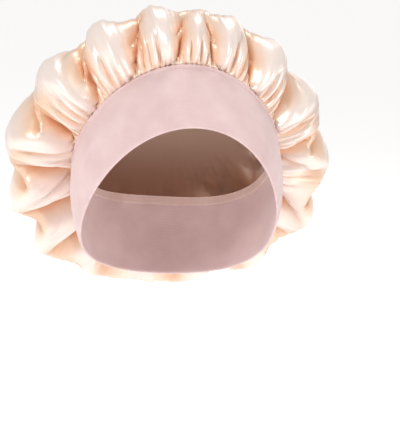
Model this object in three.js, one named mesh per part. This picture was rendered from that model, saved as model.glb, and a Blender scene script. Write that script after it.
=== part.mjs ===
// A satin sleep bonnet in the form it takes when worn: a wide stretch headband that slants
// from the hairline down to the nape, and a gathered satin crown that puffs out all round it.
// Millimetres, +Z up. The wearer faces -Y and the origin is the centre of the head.
import * as THREE from "three";

// Driving dimensions.
const HEAD = { halfBreadth: 80.2, halfDepth: 92.8, halfHeight: 101.6 };
const RING_TILT = THREE.MathUtils.degToRad(45); // the band leans back from level by this much
const BAND_LOW_LEVEL = -18; // the band's lower edge, along the ring's axis from the head's centre
const BAND_WIDTH = 63.5;
const SIDE_DIP = 20.5; // both edges dip towards the face by this much over the temples
const BAND_COLUMNS = 80;

const CROWN_COLUMNS = 120;
const CROWN_WALL = 1.2;
const PIECE_GAP = 0.3;
const CROWN_POLE = { level: 112, forward: -46 }; // the middle of the crown, in the ring's frame
const CROWN_FULLNESS = 0.8; // exponent of the crown's back: 1 is an ellipse, less is boxier
const CROWN_FOOT = 0.3; // distance off the head at which the crown starts, on the band's top edge
const CROWN_LIP = 4.0; // distance off the head at which it has cleared the band's welt
const SEAM_PULL = 0.62; // how far the cloth keeps its direction from the seam, a share of its reach
const WIDEST_PULL = 0.45; // the same below the widest line, as a share of the pull at the seam
const FOLD_REACH = 1.5; // a fold fades to nothing this many half widths from its ridge
const NORMAL_STEP = 0.01; // step along and round the crown that its outward direction is taken from

const SEAM = { height: 5.5, thickness: 1.2, proud: 1.2 }; // the overlocked allowance inside the join

const BAND_HIGH_LEVEL = BAND_LOW_LEVEL + BAND_WIDTH;
const CROWN_START_LEVEL = BAND_HIGH_LEVEL + PIECE_GAP;

// The band's section, up the outside and down the inside. across is the share of its width from
// the lower edge, off the distance out from the head. The seam allowance inside the top edge raises a welt.
const BAND_SECTION = [
  { across: 0.0, off: 1.0 },
  { across: 0.012, off: 1.85 },
  { across: 0.06, off: 2.0 },
  { across: 0.5, off: 2.0 },
  { across: 0.915, off: 2.0 },
  { across: 0.945, off: 2.8 },
  { across: 0.985, off: 2.9 },
  { across: 1.0, off: 2.0 },
  { across: 1.0, off: 0.0 },
  { across: 0.9, off: 0.0 },
  { across: 0.5, off: 0.0 },
  { across: 0.06, off: 0.0 },
  { across: 0.012, off: 0.15 },
];

// How the crown stands out from the band, by angle round the ring in degrees: 0 over the
// forehead, 90 at the wearer's left ear and 180 at the nape. bulge is how far the crown reaches
// beyond its seam, rise how far along the ring's axis its widest line lies from the seam, and
// leave the direction in degrees in which the cloth leaves the seam.
const CROWN_SECTIONS = [
  { at: 0, bulge: 8, rise: 37, leave: 50 },
  { at: 30, bulge: 12, rise: 36, leave: 42 },
  { at: 60, bulge: 20, rise: 26, leave: 26 },
  { at: 90, bulge: 39, rise: 8, leave: 4 },
  { at: 120, bulge: 54, rise: -12, leave: -12 },
  { at: 150, bulge: 66, rise: -25, leave: -24 },
  { at: 180, bulge: 70, rise: -31, leave: -30 },
  { at: 210, bulge: 66, rise: -27, leave: -26 },
  { at: 240, bulge: 49, rise: -14, leave: -14 },
  { at: 270, bulge: 43, rise: 4, leave: 2 },
  { at: 300, bulge: 28, rise: 24, leave: 22 },
  { at: 330, bulge: 14, rise: 37, leave: 40 },
];

// The crown's main folds. at is the ring angle of a fold's ridge in degrees, height how far the
// ridge stands out, width its half width in degrees, and lean how far it turns by the pole.
const CROWN_FOLDS = [
  { at: 3, height: 8, width: 9, lean: 8 },
  { at: 22, height: 9, width: 9, lean: 4 },
  { at: 39, height: 8, width: 7, lean: -4 },
  { at: 53, height: 9, width: 6, lean: -8 },
  { at: 67, height: 10, width: 7, lean: 6 },
  { at: 81, height: 9, width: 6, lean: 10 },
  { at: 95, height: 10, width: 7, lean: -5 },
  { at: 110, height: 9, width: 7, lean: -10 },
  { at: 125, height: 10, width: 8, lean: 5 },
  { at: 142, height: 8, width: 8, lean: 9 },
  { at: 159, height: 9, width: 8, lean: -6 },
  { at: 176, height: 8, width: 8, lean: 7 },
  { at: 193, height: 9, width: 8, lean: -8 },
  { at: 210, height: 8, width: 8, lean: 4 },
  { at: 227, height: 10, width: 8, lean: 8 },
  { at: 243, height: 9, width: 7, lean: -6 },
  { at: 257, height: 10, width: 7, lean: -9 },
  { at: 272, height: 9, width: 7, lean: 5 },
  { at: 288, height: 10, width: 8, lean: 10 },
  { at: 307, height: 8, width: 9, lean: -7 },
  { at: 325, height: 9, width: 8, lean: -4 },
  { at: 342, height: 9, width: 9, lean: 6 },
];

// Rows of the crown from its seam to its pole. along runs from 0 at the seam through 1 at the
// widest line to 2 at the pole, and depth is the share of the folds' height that shows there.
const CROWN_ROWS = [
  { along: 0.0, depth: 0.0 },
  { along: 0.1, depth: 0.12 },
  { along: 0.25, depth: 0.4 },
  { along: 0.45, depth: 0.75 },
  { along: 0.7, depth: 0.95 },
  { along: 0.9, depth: 1.0 },
  { along: 1.08, depth: 1.0 },
  { along: 1.22, depth: 0.92 },
  { along: 1.36, depth: 0.75 },
  { along: 1.5, depth: 0.5 },
  { along: 1.64, depth: 0.28 },
  { along: 1.77, depth: 0.12 },
  { along: 1.89, depth: 0.0 },
];

const AXIS = new THREE.Vector3(0, Math.sin(RING_TILT), Math.cos(RING_TILT));
const FORWARD = new THREE.Vector3(0, -Math.cos(RING_TILT), Math.sin(RING_TILT));

// A point given by its distance to the wearer's left, forward in the ring's plane, and its level.
function ringPoint(left, forward, level) {
  const point = new THREE.Vector3(left, 0, 0);
  return point.addScaledVector(FORWARD, forward).addScaledVector(AXIS, level);
}

// The ellipse in which the plane at this level cuts the head, grown by off all round.
function headSection(level, off) {
  const across = HEAD.halfBreadth + off;
  const depth = 1 / (HEAD.halfDepth + off) ** 2;
  const height = 1 / (HEAD.halfHeight + off) ** 2;
  const sin = Math.sin(RING_TILT);
  const cos = Math.cos(RING_TILT);
  const forwardTerm = cos * cos * depth + sin * sin * height;
  const mixedTerm = 2 * sin * cos * (height - depth);
  const levelTerm = sin * sin * depth + cos * cos * height;
  const rest = 1 - (levelTerm - mixedTerm ** 2 / (4 * forwardTerm)) * level ** 2;
  return {
    centre: (-mixedTerm * level) / (2 * forwardTerm),
    halfAcross: across * Math.sqrt(rest),
    halfForward: Math.sqrt(rest / forwardTerm),
  };
}

// The point of the grown head at a ring angle, on the line that dips over the temples.
function headPoint(angle, edgeLevel, off) {
  const level = edgeLevel - SIDE_DIP * Math.sin(angle) ** 2;
  const { centre, halfAcross, halfForward } = headSection(level, off);
  return ringPoint(halfAcross * Math.sin(angle), centre + halfForward * Math.cos(angle), level);
}

// A closed solid from rings of points, up the outside and down the inside. The last ring joins
// the first, unless caps gives the two points that close them instead.
function solidFromRings(rings, caps) {
  const size = rings[0].length;
  const positions = rings.flat().flatMap((point) => point.toArray());
  const index = [];
  const lastRing = caps ? rings.length - 1 : rings.length;
  for (let r = 0; r < lastRing; r++) {
    const here = r * size;
    const next = ((r + 1) % rings.length) * size;
    for (let c = 0; c < size; c++) {
      const d = (c + 1) % size;
      index.push(here + c, here + d, next + d, here + c, next + d, next + c);
    }
  }
  if (caps) {
    const start = positions.length / 3;
    positions.push(...caps.first.toArray(), ...caps.last.toArray());
    const last = lastRing * size;
    for (let c = 0; c < size; c++) {
      const d = (c + 1) % size;
      index.push(start, d, c, start + 1, last + c, last + d);
    }
  }
  const geometry = new THREE.BufferGeometry();
  geometry.setAttribute("position", new THREE.Float32BufferAttribute(positions, 3));
  geometry.setIndex(index);
  geometry.computeVertexNormals();
  return geometry;
}

// Angles of the columns round the ring.
const columnAngles = (count) =>
  Array.from({ length: count }, (_, i) => (i * 2 * Math.PI) / count);

// A loop round the head from a section whose rows give a level and a distance off the head.
function headLoop(section) {
  return solidFromRings(
    section.map(({ level, off }) =>
      columnAngles(BAND_COLUMNS).map((angle) => headPoint(angle, level, off)),
    ),
  );
}

function headbandGeometry() {
  return headLoop(
    BAND_SECTION.map(({ across, off }) => ({
      level: BAND_LOW_LEVEL + across * BAND_WIDTH,
      off,
    })),
  );
}

// The overlocked edges of the crown and the band, a flat ring inside the join.
function seamGeometry() {
  const top = BAND_HIGH_LEVEL + SEAM.proud;
  const bottom = top - SEAM.height;
  const outer = -PIECE_GAP;
  const inner = outer - SEAM.thickness;
  return headLoop([
    { level: bottom, off: outer },
    { level: top, off: outer },
    { level: top, off: inner },
    { level: bottom, off: inner },
  ]);
}

// A column of CROWN_SECTIONS at any angle, eased between its rows.
function sectionValue(column, angle) {
  const step = 360 / CROWN_SECTIONS.length;
  const place = THREE.MathUtils.euclideanModulo(THREE.MathUtils.radToDeg(angle), 360) / step;
  const row = Math.floor(place);
  const from = CROWN_SECTIONS[row % CROWN_SECTIONS.length][column];
  const to = CROWN_SECTIONS[(row + 1) % CROWN_SECTIONS.length][column];
  return THREE.MathUtils.lerp(from, to, THREE.MathUtils.smoothstep(place - row, 0, 1));
}

// The crown without its folds. The cloth leaves the seam, curves round to the widest line and
// then closes over the back of the head to the pole.
function plainCrown(angle, along) {
  const seam = headPoint(angle, CROWN_START_LEVEL + CROWN_WALL, CROWN_LIP);
  const seamLevel = seam.dot(AXIS);
  const out = ringPoint(Math.sin(angle), Math.cos(angle), 0);
  const bulge = sectionValue("bulge", angle);
  const rise = sectionValue("rise", angle);
  const widest = seam.clone().addScaledVector(out, bulge).addScaledVector(AXIS, rise);
  if (along <= 1) {
    const leave = THREE.MathUtils.degToRad(sectionValue("leave", angle));
    const pull = SEAM_PULL * Math.hypot(bulge, rise);
    const first = seam
      .clone()
      .addScaledVector(out, pull * Math.cos(leave))
      .addScaledVector(AXIS, pull * Math.sin(leave));
    const second = widest.clone().addScaledVector(AXIS, -WIDEST_PULL * pull);
    return new THREE.CubicBezierCurve3(seam, first, second, widest).getPoint(along);
  }
  const turn = ((along - 1) * Math.PI) / 2;
  const inward = Math.cos(turn) ** CROWN_FULLNESS;
  const upward = Math.sin(turn) ** CROWN_FULLNESS;
  const pole = ringPoint(0, CROWN_POLE.forward, CROWN_POLE.level);
  const widestLevel = seamLevel + rise;
  const flatWidest = widest.clone().addScaledVector(AXIS, -widestLevel);
  const flatPole = pole.clone().addScaledVector(AXIS, -CROWN_POLE.level);
  return flatPole
    .lerp(flatWidest, inward)
    .addScaledVector(AXIS, THREE.MathUtils.lerp(widestLevel, CROWN_POLE.level, upward));
}

// How far the folds stand out at a ring angle, for a row of the crown.
function foldHeight(angle, { along, depth }) {
  const degrees = THREE.MathUtils.radToDeg(angle);
  let height = 0;
  for (const fold of CROWN_FOLDS) {
    const ridge = fold.at + (fold.lean * along) / 2;
    const away = THREE.MathUtils.euclideanModulo(degrees - ridge + 180, 360) - 180;
    const reach = FOLD_REACH * fold.width;
    if (Math.abs(away) < reach) {
      height += fold.height * Math.cos(((away / reach) * Math.PI) / 2) ** 2;
    }
  }
  return height * depth;
}

// The crown's outward direction, from small steps along and round it.
function crownNormal(angle, along) {
  const low = Math.max(along - NORMAL_STEP, 0);
  const before = plainCrown(angle - NORMAL_STEP, along);
  const round = plainCrown(angle + NORMAL_STEP, along).sub(before);
  const up = plainCrown(angle, along + NORMAL_STEP).sub(plainCrown(angle, low));
  return round.cross(up).normalize();
}

function crownRing(row, inset) {
  return columnAngles(CROWN_COLUMNS).map((angle) => {
    const out = foldHeight(angle, row) - inset;
    return plainCrown(angle, row.along).addScaledVector(crownNormal(angle, row.along), out);
  });
}

// The crown's edge on top of the band, above or below its wall.
function crownFoot(lift) {
  return columnAngles(CROWN_COLUMNS).map((angle) =>
    headPoint(angle, CROWN_START_LEVEL + lift, CROWN_FOOT),
  );
}

function crownGeometry() {
  const outer = [crownFoot(CROWN_WALL), ...CROWN_ROWS.map((row) => crownRing(row, 0))];
  const inner = [crownFoot(0), ...CROWN_ROWS.map((row) => crownRing(row, CROWN_WALL))].reverse();
  const pole = ringPoint(0, CROWN_POLE.forward, CROWN_POLE.level);
  return solidFromRings([...inner, ...outer], {
    first: pole.clone().addScaledVector(AXIS, -CROWN_WALL),
    last: pole,
  });
}

function clothMaterial(color, roughness) {
  return new THREE.MeshStandardMaterial({ color, roughness, metalness: 0 });
}

function piece(name, geometry, material) {
  const mesh = new THREE.Mesh(geometry, material);
  mesh.name = name;
  return mesh;
}

const satin = clothMaterial(0xf3d3bf, 0.35);
const knit = clothMaterial(0xecced0, 0.9);
const overlock = clothMaterial(0xe9cdc4, 0.9);

const bonnet = new THREE.Group();
bonnet.add(piece("headband", headbandGeometry(), knit));
bonnet.add(piece("seam_allowance", seamGeometry(), overlock));
bonnet.add(piece("crown", crownGeometry(), satin));

export default bonnet;
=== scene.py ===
"""Looks of a satin sleep bonnet in its worn form: a gathered satin crown on a stretch-knit band.

Metres, +Z up. The wearer faces -Y and the origin is the centre of the head.
"""

import math

import bpy
import numpy as np
from mathutils import Matrix, Vector


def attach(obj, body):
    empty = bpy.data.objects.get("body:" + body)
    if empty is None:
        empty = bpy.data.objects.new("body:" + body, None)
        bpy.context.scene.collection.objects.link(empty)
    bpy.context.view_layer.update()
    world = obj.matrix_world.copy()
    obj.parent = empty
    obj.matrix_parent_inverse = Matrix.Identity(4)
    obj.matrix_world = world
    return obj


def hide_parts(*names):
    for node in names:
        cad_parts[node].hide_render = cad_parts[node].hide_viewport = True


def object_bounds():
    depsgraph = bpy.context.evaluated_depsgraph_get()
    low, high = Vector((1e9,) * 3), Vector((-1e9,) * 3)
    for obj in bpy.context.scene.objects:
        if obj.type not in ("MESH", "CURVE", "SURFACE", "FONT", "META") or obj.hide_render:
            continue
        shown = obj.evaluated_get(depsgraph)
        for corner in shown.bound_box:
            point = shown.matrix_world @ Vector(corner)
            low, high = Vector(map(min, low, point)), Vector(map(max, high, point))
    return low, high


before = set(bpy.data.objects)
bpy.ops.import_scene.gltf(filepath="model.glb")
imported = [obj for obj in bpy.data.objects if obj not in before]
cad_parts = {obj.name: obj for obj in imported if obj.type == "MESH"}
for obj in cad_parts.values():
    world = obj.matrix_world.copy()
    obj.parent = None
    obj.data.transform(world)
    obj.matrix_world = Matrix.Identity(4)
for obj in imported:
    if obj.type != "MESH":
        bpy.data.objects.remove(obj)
cad_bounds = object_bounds()

# The band's ring and the crown's form, which are those of the CAD part.
HEAD = {"half_breadth": 0.0802, "half_depth": 0.0928, "half_height": 0.1016}
RING_TILT = math.radians(45)
BAND_LOW_LEVEL = -0.018
BAND_WIDTH = 0.0635
BAND_HIGH_LEVEL = BAND_LOW_LEVEL + BAND_WIDTH
BAND_THICKNESS = 0.002
SIDE_DIP = 0.0205
CROWN_LIP = 0.004
CROWN_POLE = {"level": 0.112, "forward": -0.046}
CROWN_FULLNESS = 0.8

# Ring angle in degrees, then bulge and rise in millimetres and leave in degrees, as in the CAD.
CROWN_SECTIONS = [
    (0, 8, 37, 50),
    (30, 12, 36, 42),
    (60, 20, 26, 26),
    (90, 39, 8, 4),
    (120, 54, -12, -12),
    (150, 66, -25, -24),
    (180, 70, -31, -30),
    (210, 66, -27, -26),
    (240, 49, -14, -14),
    (270, 43, 4, 2),
    (300, 28, 24, 22),
    (330, 14, 37, 40),
]

# The crown's main folds: ring angle of the ridge in degrees, height in millimetres, half width
# and lean in degrees, as in the CAD.
CROWN_FOLDS = [
    (3, 8, 9, 8), (22, 9, 9, 4), (39, 8, 7, -4), (53, 9, 6, -8), (67, 10, 7, 6), (81, 9, 6, 10),
    (95, 10, 7, -5), (110, 9, 7, -10), (125, 10, 8, 5), (142, 8, 8, 9), (159, 9, 8, -6),
    (176, 8, 8, 7), (193, 9, 8, -8), (210, 8, 8, 4), (227, 10, 8, 8), (243, 9, 7, -6),
    (257, 10, 7, -9), (272, 9, 7, 5), (288, 10, 8, 10), (307, 8, 9, -7), (325, 9, 8, -4),
    (342, 9, 9, 6),
]
FOLD_DEPTHS = ((0, 0), (0.1, 0.12), (0.25, 0.4), (0.45, 0.75), (0.7, 0.95), (0.9, 1), (1.08, 1),
               (1.22, 0.92), (1.36, 0.75), (1.5, 0.5), (1.64, 0.28), (1.77, 0.12), (1.89, 0))

SATIN_COLUMNS = 720
SATIN_ROWS = 56
SATIN_THICKNESS = 0.0004
PLEATS = 104  # small gathers round the seam
PLEAT_HEIGHT = 0.0042
CREASE_HEIGHT = 0.00055

# How much longer the cloth is than the plain form round the ring, by distance from the seam.
FULLNESS = ((0, 1.25), (0.004, 1.75), (0.01, 2.1), (0.03, 1.62), (0.06, 1.34), (0.09, 1.22),
            (0.14, 1.12), (0.18, 1.07), (0.22, 1.03), (0.25, 1))
RELAX_STEPS = 700
MERIDIAN_EASE = 1.08  # how much longer the cloth is than the plain form, from seam to middle

AXIS = np.array([0.0, math.sin(RING_TILT), math.cos(RING_TILT)])
FORWARD = np.array([0.0, -math.cos(RING_TILT), math.sin(RING_TILT)])
LEFT = np.array([1.0, 0.0, 0.0])


# ---------------------------------------------------------------- the ring and the crown's form

def ring_point(left, forward, level):
    """Points from their distances to the left, forward in the ring's plane, and up its axis."""
    return (np.multiply.outer(left, LEFT) + np.multiply.outer(forward, FORWARD)
            + np.multiply.outer(level, AXIS))


def head_point(angle, edge_level, off):
    """The head grown by off, at a ring angle, on the line that dips over the temples."""
    level = edge_level - SIDE_DIP * np.sin(angle) ** 2
    sin, cos = math.sin(RING_TILT), math.cos(RING_TILT)
    depth = 1 / (HEAD["half_depth"] + off) ** 2
    height = 1 / (HEAD["half_height"] + off) ** 2
    forward_term = cos * cos * depth + sin * sin * height
    mixed_term = 2 * sin * cos * (height - depth)
    level_term = sin * sin * depth + cos * cos * height
    rest = 1 - (level_term - mixed_term**2 / (4 * forward_term)) * level**2
    centre = -mixed_term * level / (2 * forward_term)
    across = (HEAD["half_breadth"] + off) * np.sqrt(rest) * np.sin(angle)
    return ring_point(across, centre + np.sqrt(rest / forward_term) * np.cos(angle), level)


def smooth(value):
    value = np.clip(value, 0, 1)
    return value * value * (3 - 2 * value)


def section_value(column, angle):
    """A column of CROWN_SECTIONS at any angle, eased between its rows."""
    values = np.array([row[column] for row in CROWN_SECTIONS], float)
    place = np.degrees(angle) % 360 / (360 / len(values))
    row = np.floor(place).astype(int)
    ease = smooth(place - row)
    return values[row % len(values)] * (1 - ease) + values[(row + 1) % len(values)] * ease


def plain_crown(angle, along):
    """The crown without folds: rows of points for each along, one for each angle."""
    seam = head_point(angle, BAND_HIGH_LEVEL + 0.0015, CROWN_LIP)
    out = ring_point(np.sin(angle), np.cos(angle), np.zeros_like(angle))
    bulge = section_value(1, angle)[:, None] / 1000
    rise = section_value(2, angle)[:, None] / 1000
    leave = np.radians(section_value(3, angle))[:, None]
    widest = seam + out * bulge + AXIS * rise
    pull = 0.62 * np.hypot(bulge, rise)
    first = seam + out * pull * np.cos(leave) + AXIS * pull * np.sin(leave)
    second = widest - AXIS * 0.45 * pull
    pole = ring_point(0.0, CROWN_POLE["forward"], CROWN_POLE["level"])
    widest_level = (widest @ AXIS)[:, None]
    flat_widest = widest - AXIS * widest_level
    flat_pole = pole - AXIS * CROWN_POLE["level"]
    rows = []
    for a in along:
        if a <= 1:
            b = 1 - a
            rows.append(b**3 * seam + 3 * b * b * a * first + 3 * b * a * a * second + a**3 * widest)
            continue
        turn = (a - 1) * math.pi / 2
        inward = max(math.cos(turn), 0) ** CROWN_FULLNESS
        upward = math.sin(turn) ** CROWN_FULLNESS
        level = widest_level + (CROWN_POLE["level"] - widest_level) * upward
        rows.append(flat_pole + (flat_widest - flat_pole) * inward + AXIS * level)
    return np.array(rows)


def fold_height(angle, along):
    """How far the main folds stand out at each angle, for one row."""
    degrees = np.degrees(angle)
    height = np.zeros_like(degrees)
    for ridge, tall, width, lean in CROWN_FOLDS:
        away = (degrees - ridge - lean * along / 2 + 180) % 360 - 180
        height += np.where(abs(away) < 1.5 * width, tall * np.cos(away / width * math.pi / 3) ** 2, 0)
    places, depths = zip(*FOLD_DEPTHS)
    return height * np.interp(along, places, depths) / 1000


def wavy(angle, seed, lowest, highest):
    """Smooth noise round the ring, between about -1 and 1."""
    rng = np.random.default_rng(seed)
    total = np.zeros_like(angle)
    for turns in range(lowest, highest + 1):
        total += rng.normal() * np.cos(turns * angle + rng.uniform(0, 2 * math.pi))
    return total / math.sqrt(highest - lowest + 1)


def pleat_phase(angle):
    """The phase of the gathers round the seam, which are spaced a little unevenly."""
    return PLEATS * angle + 2.2 * wavy(angle, 5, 6, 24)


# ---------------------------------------------------------------- the satin

class Satin:
    """A sheet of satin gathered on to the seam and settled as cloth.

    Its own lengths are the plain form's, times FULLNESS round the ring and MERIDIAN_EASE from
    seam to middle. Row 0 is sewn to the band, and the last row is near the sheet's middle.
    """

    def __init__(self):
        self.angle = np.linspace(0, 2 * math.pi, SATIN_COLUMNS, endpoint=False)
        along = np.linspace(0, 1.97, 240)
        lines = plain_crown(self.angle, along)
        foot = head_point(self.angle, BAND_HIGH_LEVEL - 0.0004, 0.0012)
        lines = np.concatenate([foot[None], lines])
        along = np.concatenate([[0], along])
        steps = np.linalg.norm(np.diff(lines, axis=0), axis=2)
        length = np.concatenate([np.zeros((1, SATIN_COLUMNS)), np.cumsum(steps, axis=0)])
        self.radius = float(length[-1].mean()) * MERIDIAN_EASE
        self.share = (np.arange(SATIN_ROWS + 1) / SATIN_ROWS) ** 1.3
        self.guide = np.empty((SATIN_ROWS + 1, SATIN_COLUMNS, 3))
        self.along = np.empty((SATIN_ROWS + 1, SATIN_COLUMNS))
        for c in range(SATIN_COLUMNS):
            wanted = self.share * length[-1, c]
            self.along[:, c] = np.interp(wanted, length[:, c], along)
            for k in range(3):
                self.guide[:, c, k] = np.interp(wanted, length[:, c], lines[:, c, k])
        self.from_seam = self.share * self.radius
        self.normal, self.tangent = self.directions(self.guide)
        self.cut_lengths()

    def directions(self, points):
        round_step = np.roll(points, -1, axis=1) - np.roll(points, 1, axis=1)
        up_step = np.gradient(points, axis=0)
        normal = np.cross(round_step, up_step)
        normal /= np.linalg.norm(normal, axis=2, keepdims=True) + 1e-12
        tangent = round_step / (np.linalg.norm(round_step, axis=2, keepdims=True) + 1e-12)
        return normal, tangent

    def cut_lengths(self):
        """The cloth's own lengths between neighbouring points, which are longer than the form's."""
        guide_round = np.linalg.norm(np.roll(self.guide, -1, axis=1) - self.guide, axis=2)
        guide_up = np.linalg.norm(np.diff(self.guide, axis=0), axis=2)
        places, fullness = zip(*FULLNESS)
        full = np.interp(self.from_seam, places, fullness)[:, None]
        self.rest_round = (guide_round * full).astype(np.float32)
        self.rest_up = (guide_up * MERIDIAN_EASE).astype(np.float32)
        self.area = float((self.rest_round[1:] * self.rest_up).sum())

    def gather(self):
        """The starting form: main folds, and gathers that merge in pairs away from the seam."""
        s = self.from_seam[:, None]
        phase = pleat_phase(self.angle)[None]
        wander = wavy(self.angle, 9, 3, 12)[None] * 0.9
        reach = 0.013 * (1 + 0.45 * wavy(self.angle, 14, 8, 40)[None])
        small = (0.5 + 0.5 * np.cos(phase + wander * s / 0.03)) * PLEAT_HEIGHT * np.exp(-((s / reach) ** 2)) * (0.3 + 0.7 * smooth(s / 0.0045))
        uneven = 1 + 0.5 * wavy(self.angle, 12, 5, 30)[None]
        pairs = np.cos(phase / 2 + 1.3 * wander + s / 0.035) * 0.0038 * rise_and_fall(s, 0.014)
        thirds = np.cos(phase * 3 / 8 + 2 * wander + s / 0.04) * 0.0034 * rise_and_fall(s, 0.034)
        quads = np.cos(phase / 4 - 2 * wander - s / 0.05) * 0.0036 * rise_and_fall(s, 0.052)
        main = np.stack([fold_height(self.angle, a) for a in self.along.mean(axis=1)])
        main = main * 0.5 - 0.001 * np.minimum(s / 0.03, 1)
        out = small + (pairs + thirds + quads) * uneven + main
        self.points = (self.guide + self.normal * out[..., None]).astype(np.float32)

    def relax(self, steps):
        """Settles the cloth: it keeps its cut lengths, hangs a little and stays off the head."""
        x = self.points
        sewn = x[0].copy()
        before = x.copy()
        rest_round, rest_up = self.rest_round, self.rest_up
        rest_diag = np.hypot(rest_up, (rest_round[1:] + rest_round[:-1]) / 2)
        guide = self.guide.astype(np.float32)
        tangent = self.tangent.astype(np.float32)
        size = np.array([HEAD["half_breadth"], HEAD["half_depth"], HEAD["half_height"]], np.float32) + 0.0035
        hold = (0.08 + 0.18 * np.exp(-self.from_seam / 0.012)).astype(np.float32)[:, None, None]
        waves = np.arange(SATIN_COLUMNS // 2 + 1)[None, :, None]
        finest = (72 + 500 * np.exp(-self.from_seam / 0.010))[:, None, None]
        supple = np.exp(-((waves / finest) ** 4))
        near_pole = smooth((self.share - 0.6) / 0.5).astype(np.float32)[:, None, None]
        for step in range(steps):
            speed = (x - before) * np.float32(0.9)
            before = x.copy()
            x += speed
            x[..., 2] -= np.float32(0.000012)
            if step % 8 == 0:
                push = self.directions(x)[0].astype(np.float32) * np.float32(0.00009)
            x += push
            for first in (0, 1):
                spring(x[:, first::2], np.roll(x, -1, axis=1)[:, first::2], rest_round[:, first::2], x, first)
            for first in (0, 1):
                upper = x[first + 1::2]
                lower = x[first:-1:2][: len(upper)]
                pull(lower, upper, rest_up[first::2][: len(upper)], 1.0)
            for shift in (1, -1):
                other = np.roll(x[1:], -shift, axis=1)
                delta = stretch(x[:-1], other, rest_diag, 0.12)
                x[:-1] += delta
                x[1:] -= np.roll(delta, shift, axis=1)
            bend_round(x, rest_round * 2, 0.10)
            bend_up(x, 0.10)
            offset = x - guide
            spectrum = np.fft.rfft(offset, axis=1)
            limp = np.fft.irfft(spectrum * supple, n=SATIN_COLUMNS, axis=1).astype(np.float32)
            x += (limp - offset) * np.float32(0.12)
            spectrum[:, 12:] = 0
            mean = np.fft.irfft(spectrum, n=SATIN_COLUMNS, axis=1).astype(np.float32)
            x -= mean * np.float32(0.06)
            slide = (offset * tangent).sum(axis=2, keepdims=True)
            x -= tangent * slide * hold
            x -= offset * near_pole * np.float32(0.25)
            inside = ((x / size) ** 2).sum(axis=2, keepdims=True)
            x[:] = np.where(inside < 1, x / np.sqrt(np.maximum(inside, 1e-6)), x)
            x[0] = sewn
        self.points = x

    def crease(self):
        """Presses fine creases into the settled cloth, which run out from the seam and fade."""
        s = self.from_seam[:, None]
        fade = smooth(s / 0.008) * np.exp(-((s / 0.12) ** 2))
        drift = np.array([wavy(self.angle + 1.2 * place, 31, 46, 120) for place in self.from_seam])
        out = CREASE_HEIGHT * drift * fade
        self.points += (self.directions(self.points)[0] * out[..., None]).astype(np.float32)


def rise_and_fall(distance, peak):
    """0 at the seam, 1 at the peak and small again past twice that."""
    return (distance / peak) ** 2 * np.exp(1 - (distance / peak) ** 2)


def stretch(a, b, rest, stiffness):
    """How far a moves towards b, and b towards a, to bring them to their rest length."""
    delta = b - a
    length = np.sqrt((delta * delta).sum(axis=2)) + np.float32(1e-9)
    return delta * (np.float32(0.5 * stiffness) * (length - rest) / length)[..., None]


def spring(a, b, rest, x, first):
    move = stretch(a, b, rest, 1.0)
    x[:, first::2] += move
    if first == 0:
        x[:, 1::2] -= move
    else:
        x[:, 2::2] -= move[:, :-1]
        x[:, 0] -= move[:, -1]


def pull(a, b, rest, stiffness):
    move = stretch(a, b, rest, stiffness)
    a += move
    b -= move


def bend_round(x, rest, stiffness):
    """Pushes columns two apart away from each other, which opens tight creases."""
    other = np.roll(x, -2, axis=1)
    move = stretch(x, other, rest, stiffness)
    x += move * np.float32(0.5)
    x -= np.roll(move, 2, axis=1) * np.float32(0.5)


def bend_up(x, stiffness):
    """Smooths each column along its length."""
    middle = (x[2:] + x[:-2]) / 2
    x[1:-1] += (middle - x[1:-1]) * np.float32(stiffness)


def low_pass(values, turns):
    """The slow part of the values round the ring, up to this many waves."""
    spectrum = np.fft.rfft(values, axis=1)
    spectrum[:, turns:] = 0
    return np.fft.irfft(spectrum, n=values.shape[1], axis=1).astype(np.float32)


def ring_faces(counts, closed=False):
    """Quads between rings of equal size, and triangles where one has half the other's points."""
    starts = np.concatenate([[0], np.cumsum(counts)])
    faces = []
    pairs = [(r, r + 1) for r in range(len(counts) - 1)]
    if closed:
        pairs.append((len(counts) - 1, 0))
    for low, high in pairs:
        n, m = counts[low], counts[high]
        a, b = starts[low], starts[high]
        if n == m:
            faces += [(a + i, a + (i + 1) % n, b + (i + 1) % n, b + i) for i in range(n)]
            continue
        for i in range(m):
            j = 2 * i
            faces.append((a + j, a + j + 1, b + i))
            faces.append((a + j + 1, b + (i + 1) % m, b + i))
            faces.append((a + j + 1, a + (j + 2) % n, b + (i + 1) % m))
    return faces


def new_mesh(name, points, faces):
    mesh = bpy.data.meshes.new(name)
    mesh.from_pydata([tuple(map(float, p)) for p in points], [], [tuple(map(int, f)) for f in faces])
    mesh.update()
    mesh.polygons.foreach_set("use_smooth", [True] * len(mesh.polygons))
    piece = bpy.data.objects.new(name, mesh)
    bpy.context.scene.collection.objects.link(piece)
    return piece


def apply_modifier(piece, kind, **settings):
    modifier = piece.modifiers.new(kind.title(), kind)
    for key, value in settings.items():
        setattr(modifier, key, value)
    bpy.context.view_layer.objects.active = piece
    bpy.ops.object.modifier_apply(modifier=modifier.name)


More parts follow.
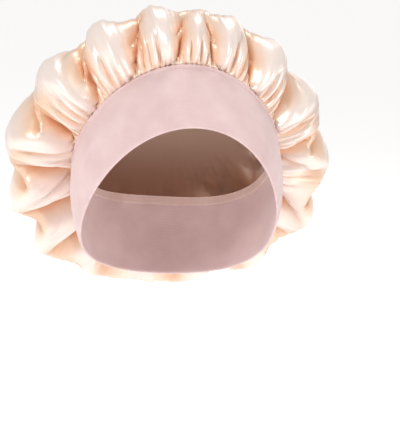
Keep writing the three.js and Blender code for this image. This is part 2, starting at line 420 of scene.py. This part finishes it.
def make_crown():
    satin = Satin()
    satin.gather()
    satin.relax(RELAX_STEPS)
    satin.crease()
    points, counts, depth = [], [], []
    out = ((satin.points - satin.guide) * satin.normal).sum(axis=2)
    local = out - low_pass(out[..., None], 10)[..., 0]
    every = 1
    for row in range(SATIN_ROWS + 1):
        if every < 16 and satin.share[row] > 1 - 0.28 / every:
            every *= 2
        ring = satin.points[row, ::every]
        points += list(ring)
        depth += list(local[row, ::every])
        counts.append(len(ring))
    faces = ring_faces(counts)
    last = len(points) - counts[-1]
    points.append(satin.points[-1].mean(axis=0))
    depth.append(0.0)
    faces += [(last + i, last + (i + 1) % counts[-1], len(points) - 1) for i in range(counts[-1])]
    crown = new_mesh("satin_crown", points, faces)
    # fold_height is each point's height above the folds' slow mean; the satin material uses it to paint shade
    # into the valleys.
    attribute = crown.data.attributes.new("fold_height", "FLOAT", "POINT")
    attribute.data.foreach_set("value", np.array(depth, np.float32) * 1000)
    apply_modifier(crown, "SOLIDIFY", thickness=SATIN_THICKNESS, offset=-1)
    return crown, satin


# ---------------------------------------------------------------- the knit headband

def make_headband():
    """A doubled band folded along its lower edge, with the seam's welt along its top."""
    columns = 480
    angle = np.linspace(0, 2 * math.pi, columns, endpoint=False)
    gathers = np.cos(pleat_phase(angle))
    section = []
    for u in np.concatenate([np.linspace(0.006, 0.05, 7), np.linspace(0.08, 0.86, 18),
                             np.linspace(0.88, 0.999, 16)]):
        from_top = (1 - u) * BAND_WIDTH
        fold = BAND_THICKNESS / 2 * (1 - math.sqrt(max(0, 1 - (1 - min(u / 0.03, 1)) ** 2)))
        welt = 0.0014 * math.exp(-(((from_top - 0.0027) / 0.0015) ** 4))
        groove = -0.0007 * math.exp(-(((from_top - 0.0054) / 0.0009) ** 2))
        lip = 0.0011 * smooth((0.0009 - from_top) / 0.0009)
        pucker = 0.00028 * math.exp(-((from_top - 0.002) / 0.005) ** 2)
        section.append((u, BAND_THICKNESS - fold + welt + groove - lip, pucker))
    for u in np.linspace(0.998, 0.05, 20):
        section.append((u, 0.0, 0.0))
    for u in (0.03, 0.012, 0.004):
        section.append((u, BAND_THICKNESS / 2 * (1 - math.sqrt(max(0, 1 - (1 - u / 0.03) ** 2))), 0.0))
    slack = 0.00022 * wavy(angle, 21, 4, 18)
    points = []
    for u, off, pucker in section:
        outside = 1 if off >= BAND_THICKNESS / 2 else 0
        swell = (pucker * gathers + slack * math.sin(math.pi * u)) * outside
        points += list(head_point(angle, BAND_LOW_LEVEL + u * BAND_WIDTH, off + swell))
    band = new_mesh("knit_headband", points, ring_faces([columns] * len(section), closed=True))
    loop = head_point(angle, BAND_LOW_LEVEL + BAND_WIDTH / 2, BAND_THICKNESS / 2)
    around = float(np.linalg.norm(np.roll(loop, -1, axis=0) - loop, axis=1).sum())
    return band, around


# ---------------------------------------------------------------- the overlocked edge inside

def make_overlock():
    """The thread that wraps the join's raw edges inside the band, looping over them."""
    loops = 190
    turns_per_loop = 10
    count = loops * turns_per_loop
    angle = np.linspace(0, 2 * math.pi, count, endpoint=False)
    turn = angle * loops
    off = -0.00105 + 0.00062 * np.cos(turn)
    rows = []
    for side in range(5):
        around = side * 2 * math.pi / 5
        rows.append(head_point(angle + 0.0019 * math.sin(around),
                               BAND_HIGH_LEVEL - 0.0014 + 0.0024 * np.sin(turn) + 0.00022 * math.cos(around),
                               off + 0.00022 * math.sin(around)))
    return new_mesh("overlock_thread", np.concatenate(rows), ring_faces([count] * 5, closed=True))


# ---------------------------------------------------------------- materials

def nodes_of(name):
    material = bpy.data.materials.new(name)
    material.use_nodes = True
    tree = material.node_tree
    return material, tree, tree.nodes["Principled BSDF"]


def add(tree, kind, **settings):
    node = tree.nodes.new(kind)
    for key, value in settings.items():
        if key in node.inputs:
            node.inputs[key].default_value = value
        else:
            setattr(node, key, value)
    return node


def ramp(tree, source, stops):
    node = tree.nodes.new("ShaderNodeValToRGB")
    elements = node.color_ramp.elements
    while len(elements) < len(stops):
        elements.new(0.5)
    for element, (place, colour) in zip(elements, stops):
        element.position = place
        element.color = (*colour, 1)
    tree.links.new(source, node.inputs["Fac"])
    return node


def satin_material():
    """Champagne satin with painted shade: orange painted into the folds' valleys and paler on their crests,
    with a fine weft and long soft glints.
    """
    material, tree, shader = nodes_of("champagne_satin")
    links = tree.links
    height = add(tree, "ShaderNodeAttribute", attribute_name="fold_height")
    scaled = add(tree, "ShaderNodeMapRange")
    scaled.inputs["From Min"].default_value = -7
    scaled.inputs["From Max"].default_value = 6
    links.new(height.outputs["Fac"], scaled.inputs["Value"])
    # Painted shade: the ramp turns fold_height into colour, warm orange in the valleys for the shade and
    # light bounced between the folds, paler on the crests.
    painted_valley_shade = ramp(tree, scaled.outputs["Result"],
                [(0.0, (0.83, 0.45, 0.24)), (0.42, (0.93, 0.68, 0.51)), (0.7, (0.95, 0.79, 0.69)),
                 (1.0, (0.96, 0.84, 0.77))])
    where = add(tree, "ShaderNodeTexCoord")
    cloud = add(tree, "ShaderNodeTexNoise", Scale=14.0, Detail=2.0)
    links.new(where.outputs["Object"], cloud.inputs["Vector"])
    blush = add(tree, "ShaderNodeMix", data_type="RGBA")
    blush.inputs["B"].default_value = (0.95, 0.73, 0.66, 1)
    share = add(tree, "ShaderNodeMath", operation="MULTIPLY")
    share.inputs[1].default_value = 0.3
    links.new(cloud.outputs["Fac"], share.inputs[0])
    links.new(share.outputs[0], blush.inputs["Factor"])
    links.new(painted_valley_shade.outputs["Color"], blush.inputs["A"])
    links.new(blush.outputs["Result"], shader.inputs["Base Color"])
    weave = add(tree, "ShaderNodeTexNoise", Scale=2600.0, Detail=2.0, Roughness=0.6)
    links.new(where.outputs["Object"], weave.inputs["Vector"])
    rough = add(tree, "ShaderNodeMapRange")
    rough.inputs["To Min"].default_value = 0.29
    rough.inputs["To Max"].default_value = 0.4
    links.new(weave.outputs["Fac"], rough.inputs["Value"])
    links.new(rough.outputs["Result"], shader.inputs["Roughness"])
    ripple = add(tree, "ShaderNodeTexNoise", Scale=160.0, Detail=2.0)
    links.new(where.outputs["Object"], ripple.inputs["Vector"])
    fine = add(tree, "ShaderNodeBump", Strength=0.05, Distance=0.0002)
    links.new(weave.outputs["Fac"], fine.inputs["Height"])
    soft = add(tree, "ShaderNodeBump", Strength=0.25, Distance=0.0008)
    links.new(ripple.outputs["Fac"], soft.inputs["Height"])
    links.new(fine.outputs["Normal"], soft.inputs["Normal"])
    links.new(soft.outputs["Normal"], shader.inputs["Normal"])
    shader.inputs["Specular IOR Level"].default_value = 0.9
    shader.inputs["Anisotropic"].default_value = 0.35
    shader.inputs["Metallic"].default_value = 0.3
    shader.inputs["Sheen Weight"].default_value = 0.15
    shader.inputs["Sheen Roughness"].default_value = 0.4
    return material


def knit_material(name, dark, light):
    """Fine stretch jersey: courses of tiny stitches, mottled a little where it is pulled."""
    material, tree, shader = nodes_of(name)
    links = tree.links
    where = add(tree, "ShaderNodeTexCoord")
    tilt = add(tree, "ShaderNodeMapping")
    tilt.inputs["Rotation"].default_value = (RING_TILT, 0, 0)
    links.new(where.outputs["Object"], tilt.inputs["Vector"])
    courses = add(tree, "ShaderNodeTexWave", wave_type="BANDS", bands_direction="Z", Scale=260.0,
                  Distortion=1.2, Detail=1.5)
    courses.inputs["Detail Scale"].default_value = 3.0
    links.new(tilt.outputs["Vector"], courses.inputs["Vector"])
    stitches = add(tree, "ShaderNodeTexVoronoi", Scale=900.0)
    links.new(tilt.outputs["Vector"], stitches.inputs["Vector"])
    mottle = add(tree, "ShaderNodeTexNoise", Scale=45.0, Detail=4.0)
    links.new(tilt.outputs["Vector"], mottle.inputs["Vector"])
    mixed = add(tree, "ShaderNodeMath", operation="MULTIPLY_ADD")
    mixed.inputs[1].default_value = 0.15
    links.new(courses.outputs["Fac"], mixed.inputs[0])
    links.new(mottle.outputs["Fac"], mixed.inputs[2])
    colour = ramp(tree, mixed.outputs[0], [(0.35, dark), (0.85, light)])
    links.new(colour.outputs["Color"], shader.inputs["Base Color"])
    coarse = add(tree, "ShaderNodeBump", Strength=0.2, Distance=0.0003)
    links.new(courses.outputs["Fac"], coarse.inputs["Height"])
    fine = add(tree, "ShaderNodeBump", Strength=0.3, Distance=0.0003)
    links.new(stitches.outputs["Distance"], fine.inputs["Height"])
    links.new(coarse.outputs["Normal"], fine.inputs["Normal"])
    links.new(fine.outputs["Normal"], shader.inputs["Normal"])
    shader.inputs["Roughness"].default_value = 0.88
    shader.inputs["Sheen Weight"].default_value = 0.35
    shader.inputs["Sheen Roughness"].default_value = 0.5
    shader.inputs["Specular IOR Level"].default_value = 0.25
    return material


def dress(piece, material, slot, *nodes):
    piece.data.materials.append(material)
    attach(piece, "root")
    if nodes:
        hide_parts(*nodes)


# ---------------------------------------------------------------- camera, floor and light

def place_camera():
    """The camera looks slightly down on the bonnet from the wearer's right, rolled a little."""
    azimuth, elevation, roll = math.radians(-10.35), math.radians(9.24), math.radians(4.37)
    distance = 1.3
    back = Vector((math.sin(azimuth) * math.cos(elevation), -math.cos(azimuth) * math.cos(elevation),
                   math.sin(elevation)))
    side = Vector((math.cos(azimuth), math.sin(azimuth), 0))
    up = back.cross(side)
    right = side * math.cos(roll) + up * math.sin(roll)
    above = up * math.cos(roll) - side * math.sin(roll)
    low, high = (Vector(corner) for corner in cad_bounds)
    width = high.x - low.x
    place = back * distance + right * 0.0695 * width - above * 0.0905 * width
    data = bpy.data.cameras.new("camera")
    data.lens = 139
    data.sensor_width = 36
    camera = bpy.data.objects.new("camera", data)
    camera.matrix_world = Matrix.Translation(place) @ Matrix((right, above, back)).transposed().to_4x4()
    bpy.context.scene.collection.objects.link(camera)
    bpy.context.scene.camera = camera


def area_light(name, place, aim, size, power, colour=(1, 1, 1)):
    data = bpy.data.lights.new(name, "AREA")
    data.shape = "RECTANGLE"
    data.size, data.size_y = size
    data.energy = power
    data.color = colour
    light = bpy.data.objects.new(name, data)
    light.location = place
    light.rotation_euler = (Vector(place) - Vector(aim)).to_track_quat("Z", "Y").to_euler()
    bpy.context.scene.collection.objects.link(light)


def make_floor():
    low = cad_bounds[0][2] - 0.12
    half = 60
    corners = [(-half, -half, low), (half, -half, low), (half, half, low), (-half, half, low)]
    floor = new_mesh("floor", corners, [(0, 1, 2, 3)])
    material, tree, shader = nodes_of("pale_floor")
    shader.inputs["Base Color"].default_value = (0.9, 0.9, 0.9, 1)
    shader.inputs["Emission Color"].default_value = (1, 1, 1, 1)
    shader.inputs["Emission Strength"].default_value = 0.45
    shader.inputs["Roughness"].default_value = 0.9
    floor.data.materials.append(material)


def light_scene():
    world = bpy.data.worlds.new("studio")
    world.use_nodes = True
    world.node_tree.nodes["Background"].inputs["Color"].default_value = (1.0, 0.985, 0.97, 1)
    world.node_tree.nodes["Background"].inputs["Strength"].default_value = 0.55
    bpy.context.scene.world = world
    bpy.context.scene.view_settings.view_transform = "Standard"
    centre = (0, 0.02, 0.02)
    area_light("key", (-1.1, -1.2, 1.0), centre, (0.4, 0.55), 12)
    area_light("fill", (1.2, -1.0, 0.3), centre, (0.3, 0.7), 4.5)
    area_light("top", (0.1, 0.5, 1.4), centre, (0.8, 0.3), 6)
    area_light("back", (0.8, 1.3, 0.5), centre, (0.6, 0.8), 1.8)
    area_light("opening", (-0.2, -1.2, -0.5), (0, 0, 0), (0.5, 0.5), 2.5)


place_camera()
make_floor()
light_scene()

crown, satin = make_crown()
dress(crown, satin_material(), "satin", "crown")
band, band_loop = make_headband()
dress(band, knit_material("pink_jersey", (0.70, 0.50, 0.49), (0.81, 0.62, 0.61)), "knit", "headband")
thread = make_overlock()
dress(thread, knit_material("overlock_yarn", (0.78, 0.58, 0.52), (0.88, 0.70, 0.64)), "overlock")
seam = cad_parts["seam_allowance"]
seam.data.materials.clear()
seam.data.materials.append(knit_material("raw_edges", (0.74, 0.53, 0.47), (0.85, 0.66, 0.60)))
